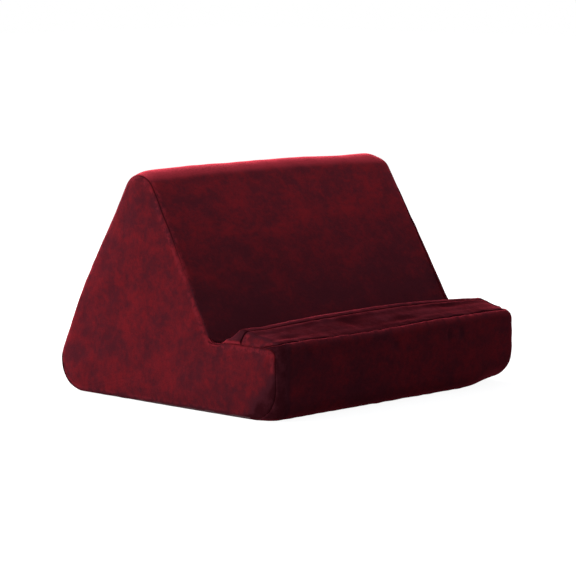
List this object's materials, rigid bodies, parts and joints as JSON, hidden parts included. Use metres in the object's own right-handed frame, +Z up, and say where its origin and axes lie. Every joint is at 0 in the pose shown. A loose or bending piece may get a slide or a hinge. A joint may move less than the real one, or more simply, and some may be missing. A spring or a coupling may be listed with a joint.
{
  "type": "tablet cushion stand",
  "caption": "Soft velvet-covered foam wedge that props up a tablet, with a padded ledge in front to hold its lower edge.",
  "frame": {"origin": "on the floor, at the middle of the footprint", "axes": "+Z up; -Y is the front, where the ledge is; +X to the right seen from the front"},
  "size_m": [0.3, 0.2662, 0.1955],
  "materials": {
    "velvet": "crushed velvet pile",
    "base_cloth": "plain woven",
    "lining": "plain woven",
    "foam": "open-cell foam",
    "zip_tape": "woven nylon with a nylon coil",
    "zip_metal": "nickel plated"
  },
  "bodies": {
    "stand": {"foam_wedge": "foam", "foam_ledge": "foam", "groove_lining": "lining", "backrest_panel": "velvet", "rear_lower_panel": "velvet", "base_panel": "base_cloth", "ledge_inner_panel": "velvet", "ledge_top_panel": "velvet", "ledge_front_panel": "velvet", "end_panel_left": "velvet", "end_panel_right": "velvet", "zip_stringer_upper": "zip_tape", "zip_stringer_lower": "zip_tape", "zip_stop_closed_end": "zip_metal", "zip_stop_open_end": "zip_metal"},
    "slider": {"zip_slider": "zip_metal"},
    "pull": {"zip_pull": "zip_metal"}
  },
  "joints": [
    {"name": "zip_slide", "type": "slide", "parent": "stand", "child": "slider", "axis": [1, 0, 0], "range_m": [0, 0.2064]},
    {"name": "pull_hinge", "type": "hinge", "parent": "slider", "child": "pull", "pos_m": [-0.1032, 0.12199, 0.05829], "axis": [0, -0.4787, 0.878], "range_deg": [0, 165]}
  ]
}
